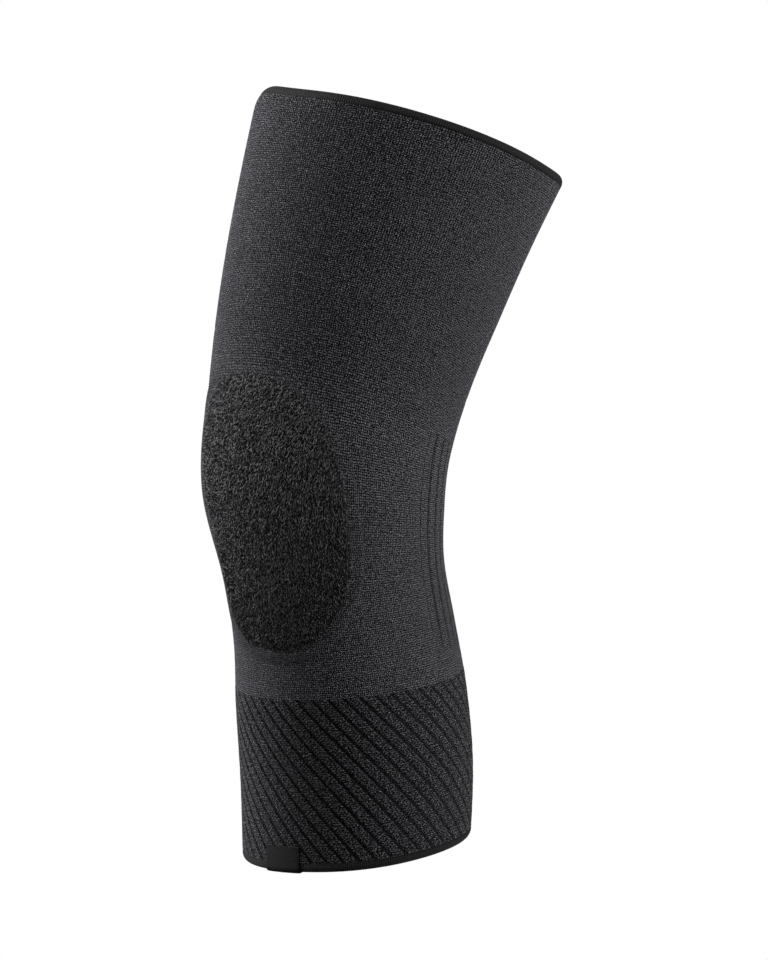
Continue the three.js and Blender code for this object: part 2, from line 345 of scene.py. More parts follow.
class RibSettings(PropertyGroup):
    """Ribs of the cuff and of the panel behind the knee."""

    cuff_groove: length_setting("Cuff groove", "Depth between the cuff's ribs", 0.65 * MM)
    panel_groove: length_setting("Panel groove", "Depth between the panel's ribs", 0.55 * MM)
    course: length_setting("Course", "Height of one row of stitches", 0.98 * MM)
    relief: length_setting("Relief", "Height of the stitches in the mesh", 0.22 * MM)
    cuff_yarn: colour_setting("Cuff yarn", "Colour on top of the cuff's ribs", (0.0585, 0.057, 0.0625))
    panel_yarn: colour_setting("Panel yarn", "Colour on top of the panel's ribs", (0.113, 0.111, 0.122))
    depth: colour_setting("Depth", "Colour in the grooves", (0.002, 0.002, 0.0024))


class TapeSettings(PropertyGroup):
    """Bindings and hem tab."""

    bulge: length_setting("Bulge", "How far a binding's face swells", 0.25 * MM)
    binding: colour_setting("Binding", "Colour of the bindings", (0.015, 0.015, 0.016))
    tab: colour_setting("Tab", "Colour of the hem tab", (0.0025, 0.0025, 0.0028))


class StageSettings(PropertyGroup):
    """Floor, lights and camera."""

    azimuth: angle_setting("Azimuth", "Side that the camera looks from", math.radians(42))
    elevation: angle_setting("Elevation", "Height that the camera looks from", math.radians(5))
    distance: length_setting("Distance", "From the camera to the knee", 5.0)
    floor: length_setting("Floor", "Height of the floor", -0.26)
    daylight: share_setting("Daylight", "Strength of the light from the white surroundings", 0.05)
    bounce: share_setting("Bounce", "Share of the light that the floor sends back up", 0.05)


class SleeveSettings(PropertyGroup):
    """All settings of the sleeve."""

    knit: PointerProperty(type=KnitSettings)
    plush: PointerProperty(type=PlushSettings)
    ribs: PointerProperty(type=RibSettings)
    tape: PointerProperty(type=TapeSettings)
    stage: PointerProperty(type=StageSettings)


def settings_of(context):
    return context.scene.knee_sleeve


# Curves


def smooth_share(value, low, high):
    """0 at low and 1 at high, smooth between and level beyond."""
    part = np.clip((value - low) / (high - low), 0, 1)
    return part * part * (3 - 2 * part)


def soft_line(value, at, wide):
    """1 at one value, and soon 0 on both sides of it."""
    return np.exp(-(((value - at) / wide) ** 2))


def ripple(row):
    """Rows of stitches: 0 at each whole row and 1 midway."""
    return 0.5 - 0.5 * np.cos(TURN * row)


def rib_depth(place):
    """Groove depth from 0 to 1, for places counted in ribs, each with a flat back and a narrow groove."""
    return smooth_share(np.abs(np.mod(place, 1) - GROOVE_AT), GROOVE_HALF, 0)


def rotated(a, b, angle):
    """Turns two coordinates by an angle in their plane."""
    return a * np.cos(angle) - b * np.sin(angle), a * np.sin(angle) + b * np.cos(angle)


def curve_through(table, x):
    """Smooth curve through a table's rows: the first column is x, the others are the values."""
    knots = table[:, 0]
    values = table[:, 1:]
    slopes = np.diff(values, axis=0) / np.diff(knots)[:, None]
    tangents = np.vstack([slopes[:1], (slopes[:-1] + slopes[1:]) / 2, slopes[-1:]])
    x = np.clip(x, knots[0], knots[-1])
    i = np.clip(np.searchsorted(knots, x) - 1, 0, len(knots) - 2)
    gap = (knots[i + 1] - knots[i])[:, None]
    p = (x - knots[i])[:, None] / gap
    start = values[i] * (1 + 2 * p) * (1 - p) ** 2 + tangents[i] * gap * p * (1 - p) ** 2
    end = values[i + 1] * p * p * (3 - 2 * p) + tangents[i + 1] * gap * p * p * (p - 1)
    return start + end


# The leg's surface


def lean(level):
    """How far the leg's axis leans back at a height."""
    bend = smooth_share(level, -BEND_HALF_LENGTH, BEND_HALF_LENGTH)
    return CALF_LEAN + (THIGH_LEAN - CALF_LEAN) * bend


def axis_along(rate):
    """Adds up a rate along the axis, from 0 at the knee."""
    total = np.concatenate([[0], np.cumsum((rate[1:] + rate[:-1]) / 2 * AXIS_STEP)])
    return total - np.interp(0, AXIS_LEVELS, total)


AXIS_BACK = axis_along(np.sin(lean(AXIS_LEVELS)))
AXIS_UP = axis_along(np.cos(lean(AXIS_LEVELS)))


def on_leg(at, angle, lift):
    """Points at heights on the leg's axis, angles from the front, and lifts off the outer surface."""
    level = at
    for begin, rim, rise, towards, power in RIM_TILTS:
        facing = np.cos(angle - towards)
        near = np.maximum(0, facing) ** power if power > 1 else facing
        level = level + rise * smooth_share(at, begin, rim) * near
    drawn = smooth_share(at, TOP_RIM - 2 * DRAWN_TALL, TOP_RIM + DRAWN_TALL / 2)
    corner = np.maximum(0, np.cos(angle - DRAWN_AT)) ** DRAWN_POWER
    lift = lift - DRAWN_IN * drawn**2 * corner
    middle, depth, side = curve_through(SECTIONS, level).T
    tilt = lean(level)
    back = middle - (depth + lift) * np.cos(angle)
    return np.stack([
        (side + lift) * np.sin(angle),
        np.interp(level, AXIS_LEVELS, AXIS_BACK) + back * np.cos(tilt),
        np.interp(level, AXIS_LEVELS, AXIS_UP) - back * np.sin(tilt),
    ], axis=1)


def flat_on_leg(flat):
    return on_leg(flat[:, 2], flat[:, 0] / FLAT_RADIUS, -flat[:, 1])


# Flat modelling


def flat_sheet(bm, left, right, low, high, columns, rows):
    """A grid that faces the front, from a left to a right angle and from a low to a high place."""
    centre = Vector(((left + right) / 2 * FLAT_RADIUS, 0, (low + high) / 2))
    half = ((right - left) / 2 * FLAT_RADIUS, (high - low) / 2, 1, 1)
    matrix = Matrix.Translation(centre) @ Matrix.Rotation(math.pi / 2, 4, "X") @ Matrix.Diagonal(half)
    grid = bmesh.ops.create_grid(bm, x_segments=columns, y_segments=rows, size=1, matrix=matrix)
    return grid["verts"]


def coordinates(verts):
    return np.array([vert.co for vert in verts])


def put_at(bm, points):
    for vert, point in zip(bm.verts, points):
        vert.co = point


def raise_sheet(verts, lift):
    """Lifts a sheet's points by a function of their angle and height."""
    flat = coordinates(verts)
    for vert, height in zip(verts, lift(flat[:, 0] / FLAT_RADIUS, flat[:, 2])):
        vert.co.y = -height


def inner_sheet(bm, left, right, low, high, grid, lift):
    """A plainer sheet that faces the leg."""
    verts = flat_sheet(bm, left, right, low, high, *grid)
    raise_sheet(verts, lift)
    faces = list({face for vert in verts for face in vert.link_faces})
    bmesh.ops.reverse_faces(bm, faces=faces)


def keep_flat_uv(bm):
    """Keeps the places on the flat sheet as a UV map, in metres."""
    uv = bm.loops.layers.uv.new("Flat")
    for face in bm.faces:
        for loop in face.loops:
            loop[uv].uv = loop.vert.co.xz


def lay_on_leg(bm):
    """Lays a flat shape on the leg and joins the points that meet there."""
    put_at(bm, flat_on_leg(coordinates(bm.verts)))
    bmesh.ops.remove_doubles(bm, verts=bm.verts, dist=MERGE)


def open_edges(bm):
    return [edge for edge in bm.edges if edge.is_boundary]


def close_rims(bm):
    """Bridges the outer and the inner sheet of a tube at both rims."""
    edges = open_edges(bm)
    heights = [edge.verts[0].co.z for edge in edges]
    middle = (min(heights) + max(heights)) / 2
    for upper in (True, False):
        rim = [edge for edge, height in zip(edges, heights) if (height > middle) == upper]
        bmesh.ops.bridge_loops(bm, edges=rim)


def spin_along(bm, distance, steps):
    """Draws a flat section out round the leg."""
    bmesh.ops.spin(
        bm, geom=list(bm.verts) + list(bm.edges), cent=(0, 0, 0), axis=(1, 0, 0),
        dvec=(distance / steps, 0, 0), angle=0, steps=steps,
    )
    bmesh.ops.recalc_face_normals(bm, faces=bm.faces)


def spun_inlay(bm, rings, outline, at, angle):
    """A closed disc: rings of reach and lift, spun about the middle and drawn out to an outline."""
    verts = [bm.verts.new((reach, -lift, 0)) for reach, lift in rings]
    edges = [bm.edges.new(pair) for pair in zip(verts, verts[1:])]
    steps = len(outline)
    bmesh.ops.spin(
        bm, geom=verts + edges, cent=(0, 0, 0), axis=(0, 1, 0), angle=-TURN, steps=steps, use_merge=True
    )
    bmesh.ops.remove_doubles(bm, verts=bm.verts, dist=DISC_MERGE)
    bmesh.ops.recalc_face_normals(bm, faces=bm.faces)
    spun = coordinates(bm.verts)
    reach = np.hypot(spun[:, 0], spun[:, 2])
    turned = np.arctan2(spun[:, 2], spun[:, 0])
    turns = np.arange(steps) / steps * TURN
    for vert, x, z in zip(
        bm.verts,
        reach * np.interp(turned, turns, outline[:, 0], period=TURN) + angle * FLAT_RADIUS,
        reach * np.interp(turned, turns, outline[:, 1], period=TURN) + at,
    ):
        vert.co.x = x
        vert.co.z = z


# Outlines of the pad and the panel


def even_outline(points, steps):
    """A closed outline of degrees and millimetres, put on the flat sheet in even steps."""
    points = np.array(points)
    closed = np.vstack([points, points[:1]])
    along = np.concatenate([[0], np.cumsum(np.hypot(*np.diff(closed, axis=0).T))])
    even = np.arange(steps) / steps * along[-1]
    return np.stack([
        np.radians(np.interp(even, along, closed[:, 0])) * FLAT_RADIUS,
        np.interp(even, along, closed[:, 1]) * MM,
    ], axis=1)


def bent(corners, resolution=32):
    """Points of one bezier piece, without its last."""
    curve = interpolate_bezier(*(Vector(corner) for corner in corners), resolution)
    return [tuple(point) for point in curve][:-1]


def pad_outline():
    """An oval of four quarters, whose lower half leans to the right."""
    tall, low = PAD_ABOVE, -PAD_BELOW
    (right, right_above, right_below), (left, left_above, left_below) = PAD_RIGHT, PAD_LEFT
    points = [
        *bent([(right, 0), (right, tall * right_above), (right * right_above, tall), (0, tall)]),
        *bent([(0, tall), (left * left_above, tall), (left, tall * left_above), (left, 0)]),
        *bent([(left, 0), (left, low * left_below), (left * left_below, low), (0, low)]),
        *bent([(0, low), (right * right_below, low), (right, low * right_below), (right, 0)]),
    ]
    leant = [(x + PAD_LEAN * max(0, -y / PAD_BELOW), y) for x, y in points]
    return even_outline(leant, PAD_STEPS)


def panel_outline():
    """A rectangle with rounded corners."""
    half, tall, low = PANEL_HALF_ANGLE, PANEL_ABOVE, -PANEL_BELOW
    corners = [
        (half, tall, PANEL_TOP_CORNER, PANEL_TOP_CORNER),
        (-half, tall, -PANEL_TOP_CORNER, PANEL_TOP_CORNER),
        (-half, low, -PANEL_LOW_CORNER, -PANEL_LOW_CORNER),
        (half, low, PANEL_LOW_CORNER, -PANEL_LOW_CORNER),
    ]
    points = [(half, 0)]
    for i, (x, y, across, up) in enumerate(corners):
        ends = [(x, y - up), (x - across, y)]
        if i % 2:
            ends.reverse()
        tip = [tuple(np.array(end) / 3 + np.array((x, y)) * 2 / 3) for end in ends]
        points += [*bent([ends[0], tip[0], tip[1], ends[1]]), ends[1]]
    return even_outline(points, PANEL_STEPS)


def plug(outline, at, angle):
    """A thick disc through the wall, for cutting."""
    bm = bmesh.new()
    reaches = np.linspace(0, 1, PLUG_RINGS)
    rings = [(reach, PLUG_OUT) for reach in reaches] + [(reach, -PLUG_IN) for reach in reaches[::-1]]
    spun_inlay(bm, rings, outline, at, angle)
    lay_on_leg(bm)
    return bm


def pad_reach(flat, outline):
    """How far points of the flat sheet lie from the pad's middle towards its outline, 1 on it."""
    x, z = flat[:, 0], flat[:, 2] - PAD_AT
    bearing = np.arctan2(outline[:, 1], outline[:, 0])
    edge = np.interp(np.arctan2(z, x), bearing, np.hypot(*outline.T), period=TURN)
    return np.hypot(x, z) / edge


def plush_reach(flat):
    """How far the plush goes towards the pad's outline: most at the top and least at the left."""
    x, z = flat[:, 0], flat[:, 2] - PAD_AT
    away = np.maximum(np.hypot(x, z), MERGE)
    above = PLUSH_REACH_ABOVE * np.where(z > 0, z / away, -PLUSH_SLOPE_BELOW * z / away) ** 2
    return PLUSH_REACH + above + PLUSH_REACH_LEFT * np.maximum(0, -x / away) ** 2


# Pieces from meshes


def mesh_from(bm, name):
    mesh = bpy.data.meshes.new(name)
    bm.to_mesh(mesh)
    bm.free()
    return mesh


def piece_from(bm, name, node, material):
    """Makes a bmesh a piece that rides on the sleeve's body and may stand for a CAD node."""
    mesh = mesh_from(bm, name)
    mesh.materials.append(material)
    piece = bpy.data.objects.new(name, mesh)
    bpy.context.scene.collection.objects.link(piece)
    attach(piece, "root")
    if node:
        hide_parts(node)
    return piece


def cut(piece, tool_bm, operation):
    """Cuts a piece by a closed tool and keeps the result as its mesh."""
    mesh = mesh_from(tool_bm, "tool")
    tool = bpy.data.objects.new("tool", mesh)
    bpy.context.scene.collection.objects.link(tool)
    modifier = piece.modifiers.new("Cut", "BOOLEAN")
    modifier.operation = operation
    modifier.solver = "MANIFOLD"
    modifier.object = tool
    depsgraph = bpy.context.evaluated_depsgraph_get()
    result = bpy.data.meshes.new_from_object(piece.evaluated_get(depsgraph))
    piece.modifiers.clear()
    bpy.data.objects.remove(tool)
    bpy.data.meshes.remove(mesh)
    whole = piece.data
    piece.data = result
    bpy.data.meshes.remove(whole)
    result.name = piece.name
    if not result.polygons:
        raise RuntimeError(f"nothing is left of {piece.name} after the cut")


def smooth(piece, sharpest=math.radians(70)):
    piece.data.shade_smooth()
    piece.data.set_sharp_from_angle(angle=sharpest)


# Materials


# Places of a Mix node's sockets for colours
MIX_FACTOR = 0
MIX_START = 6
MIX_END = 7
MIX_RESULT = 2


class Shade:
    """A value in a material's nodes: arithmetic on it adds Math nodes."""

    def __init__(self, tree, socket=None):
        self.tree = tree
        self.socket = socket

    def node(self, kind, settings=None, inputs=None, output=0):
        """Adds a node, sets its settings and then its sockets, and gives one of its outputs."""
        made = self.tree.nodes.new(kind)
        for name, value in (settings or {}).items():
            setattr(made, name, value)
        for name, value in (inputs or {}).items():
            feed(made.inputs[name], value)
        return Shade(self.tree, made.outputs[output])

    def calc(self, operation, *values):
        return self.node("ShaderNodeMath", {"operation": operation}, dict(enumerate(values)))

    def __add__(self, other):
        return self.calc("ADD", self, other)

    def __radd__(self, other):
        return self.calc("ADD", other, self)

    def __sub__(self, other):
        return self.calc("SUBTRACT", self, other)

    def __rsub__(self, other):
        return self.calc("SUBTRACT", other, self)

    def __mul__(self, other):
        return self.calc("MULTIPLY", self, other)

    def __rmul__(self, other):
        return self.calc("MULTIPLY", other, self)

    def __truediv__(self, other):
        return self.calc("DIVIDE", self, other)

    def __rtruediv__(self, other):
        return self.calc("DIVIDE", other, self)

    def fract(self):
        return self.calc("FRACT", self)

    def floor(self):
        return self.calc("FLOOR", self)

    def abs(self):
        return self.calc("ABSOLUTE", self)

    def sine(self):
        return self.calc("SINE", self)

    def least(self, other):
        return self.calc("MINIMUM", self, other)

    def span(self, start, end):
        """From one number at 0 to another at 1."""
        return self * (end - start) + start

    def ramp(self, low, high):
        """0 below low and 1 above high, smooth between."""
        return self.node(
            "ShaderNodeMapRange",
            {"interpolation_type": "SMOOTHSTEP"},
            {"Value": self, "From Min": low, "From Max": high},
        )

    def mix(self, start, end):
        """From one colour at 0 to another at 1."""
        return self.mixed("MIX", self, start, end)

    def light_on(self, shown):
        """A colour times this number."""
        return self.mixed("MULTIPLY", 1.0, shown, self.calc("MAXIMUM", self, 0.0))

    def mixed(self, blend, factor, start, end):
        settings = {"data_type": "RGBA", "blend_type": blend}
        sockets = {MIX_FACTOR: factor, MIX_START: start, MIX_END: end}
        return self.node("ShaderNodeMix", settings, sockets, MIX_RESULT)


def feed(socket, value):
    """Links a value of the nodes to a socket, or sets a constant on it."""
    if isinstance(value, Shade):
        value.tree.links.new(value.socket, socket)
    else:
        socket.default_value = value


def opaque(shown):
    return (*shown, 1)


# Tints and softness of the cloth's sheen, and the roughness of its stitches
COOL = (0.92, 0.90, 1.0)
GREY = (1.0, 1.0, 1.0)
SHEEN_ROUGHNESS = 0.45
CLOTH_ROUGHNESS = 0.92

# Stitches: how far their sides sag, the height that their yarn shows in full at, and their bumps, with what
# fibres and chance add to them
STITCH_SAG = 0.3
STITCH_FULL = 0.82
STITCH_BUMP = 0.35 * MM
STITCH_FIBRE_BUMP = 0.8
STITCH_CHANCE_BUMP = 0.1


class Finish:
    """A cloth material in the making: its nodes, its shader and the piece's flat measure."""

    def __init__(self, name, sheen, tint, specular, outline=0.0):
        self.material = bpy.data.materials.new(name)
        self.material.use_nodes = True
        self.start = Shade(self.material.node_tree)
        # How much the painted sheen brightens the base colour towards the outline
        self.outline = outline
        self.shader = self.material.node_tree.nodes["Principled BSDF"]
        self.shader.inputs["Sheen Weight"].default_value = sheen
        self.shader.inputs["Sheen Roughness"].default_value = SHEEN_ROUGHNESS
        self.shader.inputs["Sheen Tint"].default_value = opaque(tint)
        self.shader.inputs["Specular IOR Level"].default_value = specular
        self.flat = self.start.node("ShaderNodeUVMap", {"uv_map": "Flat"})
        self.u = self.flat.node("ShaderNodeSeparateXYZ", inputs={0: self.flat}, output=0)
        self.v = Shade(self.u.tree, self.u.socket.node.outputs[1])

    def attribute(self, name):
        return self.start.node("ShaderNodeAttribute", {"attribute_name": name}, output="Fac")

    def noise(self, scale, detail=2.0, vector=None):
        """Soft noise about 0, from -0.5 to 0.5."""
        sockets = {"Vector": vector or self.flat, "Scale": scale, "Detail": detail}
        return self.start.node("ShaderNodeTexNoise", {}, sockets, "Fac") - 0.5

    def chance(self, x, y):
        """A random number from 0 to 1 for each whole x and y."""
        cell = self.start.node("ShaderNodeCombineXYZ", {}, {0: x, 1: y})
        settings = {"noise_dimensions": "2D"}
        return self.start.node("ShaderNodeTexWhiteNoise", settings, {"Vector": cell}, "Value")

    def sheen(self):
        """Painted sheen in the base colour: 1 where the cloth is seen square on, and more at its outline.
        """
        facing = self.start.node("ShaderNodeLayerWeight", {}, {"Blend": 0.5}, "Facing")
        return facing * facing * self.outline + 1.0

    def finish(self, shown, roughness, height, bump):
        sockets = {"Height": height, "Distance": bump, "Strength": 1.0}
        normal = self.start.node("ShaderNodeBump", {}, sockets)
        for name, value in (("Base Color", shown), ("Roughness", roughness), ("Normal", normal)):
            feed(self.shader.inputs[name], value)
        return self.material


def stitches(finish, column, row, side_gap, slant=0.0):
    """Stitches at places counted in columns and rows: their height from 0 to 1 and a random number each."""
    off = column.fract() - 0.5
    across = off.abs() * 2
    sagging = row + across * STITCH_SAG - off * slant
    leg = (sagging.fract() * math.pi).sine()
    height = leg * (1 - across * across * side_gap)
    return height, finish.chance(column.floor(), sagging.floor())


# Plain knit, by changes of its noise for each metre: wander of columns and rows, fibres, patches of tone
COLUMN_WANDER = 900.0
ROW_WANDER = 820.0
KNIT_FIBRES = 2000.0
KNIT_PATCHES = 38.0

# It gets looser and darker between two heights on the thigh, and calmer between two angles from the front
THIGH_FROM = 25 * MM
THIGH_FULL = 60 * MM
CALM_FROM = math.radians(30) * FLAT_RADIUS
CALM_FULL = math.radians(75) * FLAT_RADIUS

# Below the thigh and on it: how far stitches wander, how low their sides are, how much calmer the sides of
# the leg are than its front, and the light
KNIT_LOOSE = (0.9, 1.2)
KNIT_SIDE_GAP = (0.8, 0.95)
KNIT_CALMER = (0.4, 0.7)
KNIT_LIGHT = (1.0, 0.86)

# Its mean tone, what single stitches, fibres and patches add to it, how busy these are at the front, what
# fibres and the calm sides add to a stitch's outline, and the height that its yarn starts to show at
KNIT_TONE = 1.05
KNIT_STITCH_TONE = 0.35
KNIT_FIBRE_TONE = 5.2
KNIT_PATCH_TONE = 0.15
KNIT_BUSY = 1.7
KNIT_FIBRE_EDGE = 1.8
KNIT_CALM_EDGE = 0.08
KNIT_STITCH_FROM = 0.5
KNIT_ROUGHNESS = (0.95, 0.8)


def knit_finish(knit, low, course):
    """Plain knit, boldest at the front."""
    finish = Finish("plain_knit", sheen=0.13, tint=COOL, specular=0.1, outline=0.75)
    thigh = finish.v.ramp(THIGH_FROM, THIGH_FULL)
    calm = finish.u.abs().ramp(CALM_FROM, CALM_FULL)
    loose = thigh.span(*KNIT_LOOSE)
    column = finish.u / (TURN * FLAT_RADIUS / knit.wales) + finish.noise(COLUMN_WANDER) * loose
    row = (finish.v - low) / course + finish.noise(ROW_WANDER) * loose
    height, chance = stitches(finish, column, row, thigh.span(*KNIT_SIDE_GAP))
    fuzz = finish.noise(KNIT_FIBRES, detail=1.0)
    busy = KNIT_BUSY - calm * thigh.span(*KNIT_CALMER)
    uneven = ((chance - 0.5) * KNIT_STITCH_TONE + fuzz * KNIT_FIBRE_TONE) * busy
    tone = uneven + KNIT_TONE + finish.noise(KNIT_PATCHES) * KNIT_PATCH_TONE
    light = tone * finish.sheen() * thigh.span(*KNIT_LIGHT)
    raised = height + fuzz * KNIT_FIBRE_EDGE + calm * KNIT_CALM_EDGE
    stitch = raised.ramp(KNIT_STITCH_FROM, STITCH_FULL)
    shown = stitch.mix(opaque(knit.depth), light.light_on(opaque(knit.yarn)))
    bumps = height + fuzz * STITCH_FIBRE_BUMP + chance * STITCH_CHANCE_BUMP
    return finish.finish(shown, height.span(*KNIT_ROUGHNESS), bumps, STITCH_BUMP)


# Pad: tones of its stitches, what fibres add to these, the part of its border that knit comes in over, and
# its bumps, with what chance adds to them
PAD_TONES = (0.9, 1.3)
PAD_FIBRE_TONE = 4.5
PAD_BORDER = (0.3, 0.7)
PAD_BUMP = 0.4 * MM
PAD_CHANCE_BUMP = 0.3


def pad_finish(plush, knit):
    """Plain knit on the pad's border, as below the thigh, and shadow under its plush."""
    finish = Finish("pad_body", sheen=0.13, tint=COOL, specular=0.1, outline=0.2)
    loose = KNIT_LOOSE[0]
    column = finish.u / (TURN * FLAT_RADIUS / knit.wales) + finish.noise(COLUMN_WANDER) * loose
    row = finish.v / knit.course + finish.noise(ROW_WANDER) * loose
    height, chance = stitches(finish, column, row, KNIT_SIDE_GAP[0])
    fuzz = finish.noise(KNIT_FIBRES, detail=1.0)
    light = (chance.span(*PAD_TONES) + fuzz * PAD_FIBRE_TONE) * finish.sheen()
    stitch = (height + fuzz * KNIT_FIBRE_EDGE).ramp(KNIT_STITCH_FROM, STITCH_FULL)
    knitted = stitch.mix(opaque(knit.depth), light.light_on(opaque(knit.yarn)))
    shown = finish.attribute("border").ramp(*PAD_BORDER).mix(opaque(plush.depth), knitted)
    return finish.finish(shown, CLOTH_ROUGHNESS, height + chance * PAD_CHANCE_BUMP, PAD_BUMP)


# Plush: its fibres, by their changes for each metre, how they are drawn out, what they add to the tone,
# tones of the loops, and the light that painted shade leaves at their tips and at their roots
PLUSH_FIBRES = 2500.0
PLUSH_FIBRE_STRETCH = (1.0, 1.0, 0.45)
PLUSH_FIBRE_TONE = 5.6
PLUSH_TONES = (0.38, 1.48)
PLUSH_ROOT_PAINTED_SHADE = (1.0, 0.2)
PLUSH_ROUGHNESS = 0.9
PLUSH_BUMP = 0.3 * MM


def plush_finish(plush):
    """Looped yarn: each loop has its own tone, with painted light and shade in it, and painted shade at its
    roots.
    """
    finish = Finish("looped_plush", sheen=0.1, tint=GREY, specular=0.1, outline=0.4)
    place = finish.start.node("ShaderNodeTexCoord", output="Object")
    sockets = {0: place, 1: PLUSH_FIBRE_STRETCH}
    drawn = place.node("ShaderNodeVectorMath", {"operation": "MULTIPLY"}, sockets)
    fibre = finish.noise(PLUSH_FIBRES, detail=1.0, vector=drawn)
    tone = finish.attribute("loop").span(*PLUSH_TONES) + fibre * PLUSH_FIBRE_TONE
    light = tone * finish.attribute("root").span(*PLUSH_ROOT_PAINTED_SHADE) * finish.sheen()
    return finish.finish(light.light_on(opaque(plush.yarn)), PLUSH_ROUGHNESS, fibre, PLUSH_BUMP)


# Ribbed knit: wander of columns and rows, by changes for each metre, how low the sides of stitches are,
# their tones, the height that their yarn starts to show at, and the half width of a groove's floor, where
# its painted shade is full
RIB_COLUMN_WANDER = 520.0
RIB_ROW_WANDER = 470.0
RIB_SIDE_GAP = 0.4
RIB_TONES = (0.8, 1.3)
RIB_STITCH_FROM = 0.48
GROOVE_FLOOR = 0.02


class RibLook(NamedTuple):
    """Look of one ribbed knit.

    It has the wales in a rib, their slant and wander, how dark and how wide the painted shade in a groove
    is, the fibres by their changes for each metre, and what these add to the tone and to a stitch's
    outline.
    """

    name: str
    wales: int
    slant: float
    loose: float
    groove_painted_shade: float
    groove_painted_shade_half: float
    fibres: float
    fibre_tone: float
    fibre_edge: float


PANEL_LOOK = RibLook(
    name="panel_knit", wales=6, slant=0.0, loose=1.2, groove_painted_shade=0.75, groove_painted_shade_half=GROOVE_HALF,
    fibres=2000.0, fibre_tone=5.6, fibre_edge=1.28,
)
CUFF_LOOK = RibLook(
    name="cuff_knit", wales=WALES_PER_RIB, slant=0.45, loose=0.8, groove_painted_shade=0.78, groove_painted_shade_half=0.22,
    fibres=1400.0, fibre_tone=11.2, fibre_edge=2.56,
)


def rib_finish(look, yarn, depth, pitch, low, course):
    """Stitches in ribs, with painted shade in the grooves; each rib is several wales wide."""
    finish = Finish(look.name, sheen=0.08, tint=COOL, specular=0.1, outline=1.0)
    place = finish.u / pitch
    column = place * look.wales + WALE_SHIFT + finish.noise(RIB_COLUMN_WANDER) * look.loose
    row = (finish.v - low) / course + finish.noise(RIB_ROW_WANDER) * look.loose
    height, chance = stitches(finish, column, row, RIB_SIDE_GAP, look.slant)
    # Painted shade in the grooves: the yarn's light is dimmed towards each groove's floor
    off = (place.fract() - GROOVE_AT).abs()
    rib = off.least(1 - off).ramp(GROOVE_FLOOR, look.groove_painted_shade_half)
    fuzz = finish.noise(look.fibres, detail=1.0)
    tone = chance.span(*RIB_TONES) + fuzz * look.fibre_tone
    light = tone * rib.span(1 - look.groove_painted_shade, 1.0) * finish.sheen()
    stitch = (height + fuzz * look.fibre_edge).ramp(RIB_STITCH_FROM, STITCH_FULL)
    shown = stitch.mix(opaque(depth), light.light_on(opaque(yarn)))
    bumps = height + fuzz * STITCH_FIBRE_BUMP + chance * STITCH_CHANCE_BUMP
    return finish.finish(shown, CLOTH_ROUGHNESS, bumps, STITCH_BUMP)


# Bindings: pitch of the cross threads, fibres and patches by their changes for each metre, what each adds
# to the tone, the distances from the rim that the painted shade at the seam comes in between, its light,
# and bumps
BINDING_THREAD = 0.9 * MM
BINDING_FIBRES = 1800.0
BINDING_PATCHES = 60.0
BINDING_THREAD_TONE = 0.2
BINDING_FIBRE_TONE = 1.5
BINDING_PATCH_TONE = 0.6
BINDING_SEAM_PAINTED_SHADE = (0.6 * BINDING_TALL, 0.9 * BINDING_TALL)
BINDING_SEAM_SHADE_LIGHT = 0.35
BINDING_ROUGHNESS = 0.7
BINDING_THREAD_BUMP = 0.5
BINDING_FIBRE_BUMP = 0.6
BINDING_BUMP = 0.18 * MM


def binding_finish(tape):
    """Tape with cross threads, with painted shade where it is sewn on."""
    finish = Finish("binding_tape", sheen=0.12, tint=GREY, specular=0.15, outline=0.9)
    thread = (finish.u / BINDING_THREAD * TURN).sine()
    fuzz = finish.noise(BINDING_FIBRES)
    patches = finish.noise(BINDING_PATCHES) * BINDING_PATCH_TONE
    tone = thread * BINDING_THREAD_TONE + 1.0 + fuzz * BINDING_FIBRE_TONE + patches
    # Painted shade along the seam, towards the tape's sewn edge
    from_rim = (finish.v - TOP_RIM).abs().least((finish.v - BOTTOM_RIM).abs())
    light = tone * from_rim.ramp(*BINDING_SEAM_PAINTED_SHADE).span(1.0, BINDING_SEAM_SHADE_LIGHT) * finish.sheen()
    shown = light.light_on(opaque(tape.binding))
    bumps = thread * BINDING_THREAD_BUMP + fuzz * BINDING_FIBRE_BUMP
    return finish.finish(shown, BINDING_ROUGHNESS, bumps, BINDING_BUMP)


# Tab: pitch of its warp and weft, fibres by their changes for each metre, what weave and fibres add to the
# tone, the edge thread's distance from the side, width and painted shade, and bumps
TAB_WARP = 0.42 * MM
TAB_WEFT = 0.36 * MM
TAB_FIBRES = 300.0
TAB_WEAVE_TONE = 0.2
TAB_FIBRE_TONE = 0.4
TAB_EDGE = 1.0 * MM
TAB_EDGE_WIDE = 0.3 * MM
TAB_EDGE_PAINTED_SHADE = 0.35
TAB_ROUGHNESS = 0.55
TAB_WEAVE_BUMP = 0.4
TAB_BUMP = 0.1 * MM


def tab_finish(tape):
    """Plain weave with a raised edge thread that carries painted shade."""
    finish = Finish("tab_tape", sheen=0.02, tint=GREY, specular=0.12)
    weave = (finish.u / TAB_WARP * TURN).sine() * (finish.v / TAB_WEFT * TURN).sine()
    middle = (TAB_FROM + TAB_TO) / 2 * FLAT_RADIUS
    edge = (TAB_TO - TAB_FROM) / 2 * FLAT_RADIUS - TAB_EDGE
    selvedge = (finish.u - middle).abs().ramp(edge, edge + TAB_EDGE_WIDE)
    light = weave * TAB_WEAVE_TONE + 1.0 + finish.noise(TAB_FIBRES) * TAB_FIBRE_TONE
    # The edge thread is raised in the bumps and darkened by painted shade
    shown = (light - selvedge * TAB_EDGE_PAINTED_SHADE).light_on(opaque(tape.tab))
    return finish.finish(shown, TAB_ROUGHNESS, weave * TAB_WEAVE_BUMP + selvedge, TAB_BUMP)


# Pieces


